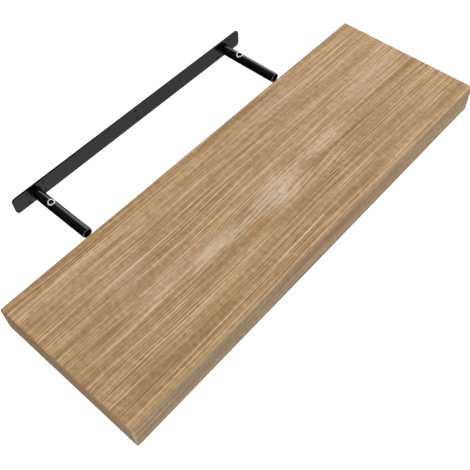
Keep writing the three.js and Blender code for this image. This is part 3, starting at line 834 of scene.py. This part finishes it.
class SHELF_OT_lock_bushes(bpy.types.Operator):
    """Lock bushes: turned steel sleeves through the tubes, their rims following the round of the tube"""

    bl_idname = "shelf.lock_bushes"
    bl_label = "Lock bushes"

    def execute(self, context):
        sizes = context.scene.shelf_sizes
        colours = context.scene.shelf_colours
        low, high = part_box("right_lock_bush")
        material = zinc_plated_steel(colours, (low.y + high.y) / 2)
        inside = bore_painted_shade(colours)
        bore = sizes.bush_bore / 2
        crown = sizes.tube_diameter / 2 + sizes.bush_proud
        for side in SIDES:
            low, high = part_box(f"{side}_lock_bush")
            radius, half = (high.x - low.x) / 2, (high.z - low.z) / 2
            profile = [(bore, -half), (radius, -half), (radius, half), (bore, half)]
            bush = turned(profile, sizes.bush_edge, rounded=(0, 1, 2, 3))
            for vert in bush.verts:
                drop = crown - math.sqrt(crown**2 - vert.co.x**2)
                vert.co.z -= math.copysign(drop, vert.co.z)
            # The bore's faces take the painted shade
            for face in bush.faces:
                if math.hypot(*face.calc_center_median().xy) < bore + TOUCH:
                    face.material_index = 1
            move(bush, (tube_axis(side), (low.y + high.y) / 2, (low.z + high.z) / 2))
            nodes = [f"{side}_lock_bush"]
            piece = add_piece(context, f"{side}_bush", bush, "bracket", material, nodes)
            piece.data.materials.append(inside)
        return {"FINISHED"}


def threaded(crest, root, pitch, low, high):
    """A screw thread's surface about Z, open and cut square at both heights."""
    shape = bmesh.new()
    flat = pitch * THREAD_FLAT
    start = low - SPARE_TURNS * pitch
    profile = [
        (root, 0, start),
        (root, 0, start + flat),
        (crest, 0, start + pitch / 2 - flat / 2),
        (crest, 0, start + pitch / 2 + flat / 2),
        (root, 0, start + pitch),
    ]
    polyline(shape, profile, closed=False)
    turns = math.ceil((high - low) / pitch) + SPARE_TURNS + 1
    bmesh.ops.spin(
        shape,
        geom=shape.verts[:] + shape.edges[:],
        cent=(0, 0, 0),
        axis=(0, 0, 1),
        dvec=(0, 0, pitch / THREAD_STEPS),
        angle=FULL_TURN * turns,
        steps=THREAD_STEPS * turns,
        use_merge=False,
    )
    bmesh.ops.remove_doubles(shape, verts=shape.verts, dist=MERGE_DISTANCE)
    for height, outward in ((low, -1), (high, 1)):
        bmesh.ops.bisect_plane(
            shape,
            geom=shape.verts[:] + shape.edges[:] + shape.faces[:],
            dist=CUT_DISTANCE,
            plane_co=(0, 0, height),
            plane_no=(0, 0, outward),
            clear_outer=True,
        )
    return shape


def rim(shape, height):
    """The open edges of a shape that lie at one height."""
    return [
        edge
        for edge in shape.edges
        if edge.is_boundary and all(abs(vert.co.z - height) < TOUCH for vert in edge.verts)
    ]


class SHELF_OT_insert_nuts(bpy.types.Operator):
    """Insert nuts: flanged and threaded sleeves in the underside, flush with the foil"""

    bl_idname = "shelf.insert_nuts"
    bl_label = "Insert nuts"

    def execute(self, context):
        sizes = context.scene.shelf_sizes
        material = bpy.data.materials["zinc_plated_steel"]
        bore, body = sizes.insert_bore / 2, sizes.insert_body / 2
        lead = sizes.insert_lead
        for side in SIDES:
            low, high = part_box(f"{side}_insert_nut")
            flange, depth = (high.x - low.x) / 2, high.z - low.z
            outline = [
                (bore, 0, lead),
                (bore + lead, 0, 0),
                (flange, 0, 0),
                (flange, 0, sizes.insert_flange),
                (body, 0, sizes.insert_flange),
                (body, 0, depth - lead),
                (body - lead, 0, depth),
                (bore + lead, 0, depth),
                (bore, 0, depth - lead),
            ]
            nut = threaded(bore, bore + sizes.thread_depth, sizes.thread_pitch, lead, depth - lead)
            for vert in nut.verts:
                vert.co.z = min(max(vert.co.z, lead), depth - lead)
            shell = bmesh.new()
            polyline(shell, outline, closed=False)
            spin(shell, ROUND_STEPS)
            mesh = as_mesh(shell, "shell")
            nut.from_mesh(mesh)
            bpy.data.meshes.remove(mesh)
            for height in (lead, depth - lead):
                bmesh.ops.bridge_loops(nut, edges=rim(nut, height))
            bmesh.ops.recalc_face_normals(nut, faces=nut.faces)
            move(nut, (tube_axis(side), (low.y + high.y) / 2, low.z))
            nodes = [f"{side}_insert_nut"]
            add_piece(context, f"{side}_insert", nut, "board", material, nodes)
        return {"FINISHED"}


class SHELF_OT_lock_screws(bpy.types.Operator):
    """Lock screws: set screws with a helical thread, chamfered ends and a hexagon socket below"""

    bl_idname = "shelf.lock_screws"
    bl_label = "Lock screws"

    def execute(self, context):
        sizes = context.scene.shelf_sizes
        material = black_oxide_steel(context.scene.shelf_colours)
        for side in SIDES:
            low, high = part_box(f"{side}_lock_screw")
            crest, top = (high.x - low.x) / 2, high.z - low.z
            screw = threaded(crest, crest - sizes.thread_depth, sizes.thread_pitch, 0, top)
            for vert in screw.verts:
                from_end = min(vert.co.z, top - vert.co.z)
                most = crest - max(sizes.screw_point - from_end, 0)
                radius = math.hypot(vert.co.x, vert.co.y)
                if radius > most:
                    vert.co.x, vert.co.y = vert.co.x * most / radius, vert.co.y * most / radius
            bmesh.ops.contextual_create(screw, geom=rim(screw, top))
            hexagon = circle(screw, sizes.hex_across / math.sqrt(3), HEX_SIDES)
            bmesh.ops.triangle_fill(screw, use_beauty=True, edges=rim(screw, 0))
            walls = bmesh.ops.extrude_edge_only(screw, edges=hexagon)
            floor = pull(screw, walls, (0, 0, sizes.hex_depth))
            cap = bmesh.ops.contextual_create(screw, geom=floor)["faces"]
            drilled = bmesh.ops.poke(screw, faces=cap, offset=0)["verts"]
            bmesh.ops.translate(screw, verts=drilled, vec=(0, 0, sizes.hex_across / 4))
            bmesh.ops.recalc_face_normals(screw, faces=screw.faces)
            move(screw, (tube_axis(side), (low.y + high.y) / 2, low.z))
            name, body, nodes = f"{side}_set_screw", f"{side}_screw", [f"{side}_lock_screw"]
            add_piece(context, name, screw, body, material, nodes)
        return {"FINISHED"}


def board_box():
    """The board's lowest and highest corners, foil and bands included."""
    low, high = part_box("decor_foil_wrap")
    return (
        Vector((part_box("left_edge_band")[0].x, low.y, low.z)),
        Vector((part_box("right_edge_band")[1].x, high.y, high.z)),
    )


def sheet_place(point, normal, low, high):
    """A point of the board on the flat sheet: along it, and from the top's back edge round the front."""
    depth, thickness = high.y - low.y, high.z - low.z
    if abs(normal.x) > STEEP:
        # The bands' print runs along the board's ends, and is taken from beyond the wrapped part
        return point.y, depth + BAND_PRINT_START * thickness + point.z
    if normal.z > 0 and abs(normal.y) < abs(normal.x):
        # The top's print runs straight over the arris
        return point.x, high.y - point.y
    if normal.z < -STEEP:
        return point.x, 2 * depth + thickness - (high.y - point.y)
    return point.x, (high.y - point.y) + (high.z - point.z)


def map_sheet(shape):
    """Gives every face its place on the flat sheet of foil."""
    layer = shape.loops.layers.uv.new(SHEET_MAP)
    low, high = board_box()
    for face in shape.faces:
        for loop in face.loops:
            loop[layer].uv = sheet_place(loop.vert.co, face.normal, low, high)


class SHELF_OT_foil_wrap(bpy.types.Operator):
    """Foil wrap: one sheet of decor foil folded round the top, the front and the underside"""

    bl_idname = "shelf.foil_wrap"
    bl_label = "Foil wrap"

    def execute(self, context):
        sizes = context.scene.shelf_sizes
        low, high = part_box("decor_foil_wrap")
        sheet = bmesh.new()
        section = [(high.y, high.z), (low.y, high.z), (low.y, low.z), (high.y, low.z)]
        verts = polyline(sheet, [(low.x, y, z) for y, z in section], closed=False)
        round_corners(sheet, verts[1:3], sizes.fold_radius, FOLD_STEPS)
        pull(sheet, bmesh.ops.extrude_edge_only(sheet, edges=sheet.edges[:]), (high.x - low.x, 0, 0))
        underside = [f for f in sheet.faces if all(abs(v.co.z - low.z) < TOUCH for v in f.verts)]
        outline = [edge for face in underside for edge in face.edges]
        bmesh.ops.delete(sheet, geom=underside, context="FACES_ONLY")
        for side in SIDES:
            nut_low, nut_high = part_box(f"{side}_insert_nut")
            radius = (nut_high.x - nut_low.x) / 2 + sizes.flange_gap
            centre = (tube_axis(side), (nut_low.y + nut_high.y) / 2, low.z)
            outline += circle(sheet, radius, HOLE_STEPS, Matrix.Translation(centre))
        bmesh.ops.triangle_fill(sheet, use_beauty=True, edges=outline)
        bmesh.ops.recalc_face_normals(sheet, faces=sheet.faces)
        if max(sheet.faces, key=lambda face: face.calc_center_median().z).normal.z < 0:
            bmesh.ops.reverse_faces(sheet, faces=sheet.faces)
        bmesh.ops.solidify(sheet, geom=sheet.faces[:], thickness=sizes.foil_thickness)
        map_sheet(sheet)
        board_low, board_high = board_box()
        first_fold = board_high.y - board_low.y
        folds = (first_fold, first_fold + board_high.z - board_low.z)
        material = oak_decor_foil(context.scene.shelf_colours, folds)
        add_piece(context, "foil", sheet, "board", material, ["decor_foil_wrap"])
        return {"FINISHED"}


class SHELF_OT_edge_bands(bpy.types.Operator):
    """Edge bands: a moulded band over each end, its long arrises rounded and its front corners eased"""

    bl_idname = "shelf.edge_bands"
    bl_label = "Edge bands"

    def execute(self, context):
        sizes = context.scene.shelf_sizes
        material = oak_end_band(context.scene.shelf_colours)
        for side, sign in SIDES.items():
            low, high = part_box(f"{side}_edge_band")
            inner, outer = (low.x, high.x) if sign > 0 else (high.x, low.x)
            centre, size = (low + high) / 2, high - low
            band = bmesh.new()
            stretched = Matrix.Translation(centre) @ Matrix.Diagonal((*size, 1))
            bmesh.ops.create_cube(band, size=1, matrix=stretched)
            arrises = [
                edge
                for edge in band.edges
                if all(abs(vert.co.x - outer) < TOUCH for vert in edge.verts)
                and abs(edge.verts[0].co.z - edge.verts[1].co.z) < TOUCH
            ]
            round_edges(band, arrises, sizes.band_arris, FOLD_STEPS)
            front = [
                edge
                for edge in band.edges
                if all(abs(vert.co.y - low.y) < TOUCH for vert in edge.verts)
                and any(abs(vert.co.x - inner) > TOUCH for vert in edge.verts)
            ]
            round_edges(band, front, sizes.fold_radius, FOLD_STEPS)
            bmesh.ops.recalc_face_normals(band, faces=band.faces)
            map_sheet(band)
            nodes = [f"{side}_edge_band"]
            add_piece(context, f"{side}_band", band, "board", material, nodes)
        return {"FINISHED"}


class SHELF_OT_timber(bpy.types.Operator):
    """Frame strips and tube blocks: planed pine, its grain along each piece"""

    bl_idname = "shelf.timber"
    bl_label = "Timber"

    def execute(self, context):
        colours = context.scene.shelf_colours
        lengthways = planed_pine(colours, "pine_along_board", (0, 0, 0))
        crossways = planed_pine(colours, "pine_across_board", (0, 0, RIGHT_ANGLE))
        finish_nodes(["front_rail", "left_back_rail", "middle_back_rail", "right_back_rail"], lengthways)
        for side in SIDES:
            finish_nodes([f"{side}_end_rail", f"{side}_tube_block"], crossways)
        return {"FINISHED"}


class SHELF_OT_skins(bpy.types.Operator):
    """Skin panels and honeycomb: raw fibreboard and kraft cardboard"""

    bl_idname = "shelf.skins"
    bl_label = "Skins and honeycomb"

    def execute(self, context):
        colours = context.scene.shelf_colours
        finish_nodes(["top_panel", "bottom_panel"], raw_fibreboard(colours))
        cores = [f"{place}_honeycomb_core" for place in ("front", "left", "middle", "right")]
        finish_nodes(cores, kraft_cardboard(colours))
        return {"FINISHED"}


class SHELF_OT_stage(bpy.types.Operator):
    """Studio: a pale paper floor well below the shelf, a soft key light, a white sky and the camera"""

    bl_idname = "shelf.stage"
    bl_label = "Studio"

    def execute(self, context):
        self.make_floor(context)
        self.make_light(context)
        self.make_sky(context.scene)
        self.make_camera(context)
        context.scene.view_settings.view_transform = "Standard"
        return {"FINISHED"}

    def make_floor(self, context):
        """A wide round sheet that looks white to the camera and keeps the shelf's shadow."""
        shape = bmesh.new()
        bmesh.ops.create_circle(
            shape,
            cap_ends=True,
            radius=FLOOR_RADIUS,
            segments=FLOOR_STEPS,
            matrix=Matrix.Translation((0, 0, CAD_BOX[0].z - FLOOR_DROP)),
        )
        material, tree = new_material("studio_paper")
        cloud = streaks(tree, object_place(tree), 900, 900, 1.9)
        shade = tint(tree, context.scene.shelf_colours.paper, WHITE, cloud, 0.3, 0.7, 0.03)
        lit = add_node(tree, "BsdfDiffuse", {"Color": shade})
        seen = add_node(tree, "LightPath", out="Is Camera Ray")
        strength = add_node(tree, "Math", {0: seen, 1: FLOOR_GLOW}, operation="MULTIPLY")
        glow = add_node(tree, "Emission", {"Color": WHITE, "Strength": strength})
        both = add_node(tree, "AddShader", {0: lit, 1: glow})
        add_node(tree, "OutputMaterial", {"Surface": both})
        floor = new_object(context, "floor", as_mesh(shape, "floor"))
        floor.data.materials.append(material)
        floor.visible_glossy = False

    def make_light(self, context):
        """One broad soft light from above, a little behind and to the left, without a highlight."""
        lamp = bpy.data.lights.new("key", "SUN")
        lamp.energy, lamp.angle = KEY_STRENGTH, KEY_SPREAD
        key = new_object(context, "key", lamp)
        key.rotation_mode = "QUATERNION"
        key.rotation_quaternion = Vector(KEY_DIRECTION).to_track_quat("Z", "Y")
        key.visible_glossy = False

    def make_sky(self, scene):
        """White to the camera, an even fill on the shelf, and for gloss a dark studio with pale cards."""
        scene.world = bpy.data.worlds.new("studio")
        scene.world.use_nodes = True
        tree = scene.world.node_tree
        tree.nodes.clear()
        direction = add_node(tree, "TexCoord", out="Generated")
        gloss = (GLOSS_DARK,) * 3
        for towards, narrow, wide, brightness in GLOSS_CARDS:
            ways = {0: direction, 1: Vector(towards).normalized()}
            facing = add_node(tree, "VectorMath", ways, "Value", operation="DOT_PRODUCT")
            edge, core = (math.cos(math.radians(angle)) for angle in (wide, narrow))
            gloss = tint(tree, gloss, (brightness,) * 3, facing, edge, core)
        shade = SKY_FILL
        for ray, seen in (("Glossy", gloss), ("Transmission", WHITE), ("Camera", WHITE)):
            share = add_node(tree, "LightPath", out=f"Is {ray} Ray")
            mixed = {"Factor_Float": share, "A_Color": shade, "B_Color": seen}
            shade = add_node(tree, "Mix", mixed, "Result_Color", data_type="RGBA")
        background = add_node(tree, "Background", {"Color": shade, "Strength": 1.0})
        add_node(tree, "OutputWorld", {"Surface": background})

    def make_camera(self, context):
        """The photograph's camera."""
        lens = bpy.data.cameras.new("camera")
        lens.lens, lens.sensor_width = CAMERA_LENS, CAMERA_SENSOR
        camera = new_object(context, "camera", lens)
        camera.location = CAMERA_PLACE
        camera.rotation_euler = [math.radians(angle) for angle in CAMERA_ANGLES]
        context.scene.camera = camera


OPERATORS = (
    SHELF_OT_wall_plate,
    SHELF_OT_support_tubes,
    SHELF_OT_weld_beads,
    SHELF_OT_lock_bushes,
    SHELF_OT_insert_nuts,
    SHELF_OT_lock_screws,
    SHELF_OT_foil_wrap,
    SHELF_OT_edge_bands,
    SHELF_OT_timber,
    SHELF_OT_skins,
    SHELF_OT_stage,
)


class SHELF_PT_panel(bpy.types.Panel):
    """Lists the sizes, the colours and what builds each piece"""

    bl_idname = "SHELF_PT_panel"
    bl_label = "Floating wall shelf"
    bl_space_type = "VIEW_3D"
    bl_region_type = "UI"
    bl_category = "Shelf"

    def draw(self, context):
        for group in (context.scene.shelf_sizes, context.scene.shelf_colours):
            column = self.layout.column(align=True)
            for name in group.__annotations__:
                column.prop(group, name)
        for operator in OPERATORS:
            self.layout.operator(operator.bl_idname)


CLASSES = (ShelfSizes, ShelfColours, *OPERATORS, SHELF_PT_panel)


def register():
    """Adds the classes and the scene's sizes and colours."""
    for kind in CLASSES:
        bpy.utils.register_class(kind)
    bpy.types.Scene.shelf_sizes = PointerProperty(type=ShelfSizes)
    bpy.types.Scene.shelf_colours = PointerProperty(type=ShelfColours)


def unregister():
    """Takes them away again."""
    del bpy.types.Scene.shelf_sizes
    del bpy.types.Scene.shelf_colours
    for kind in reversed(CLASSES):
        bpy.utils.unregister_class(kind)


def main():
    """Builds every piece and the studio."""
    register()
    for operator in OPERATORS:
        group, name = operator.bl_idname.split(".")
        getattr(getattr(bpy.ops, group), name)()


if __name__ == "__main__":
    main()
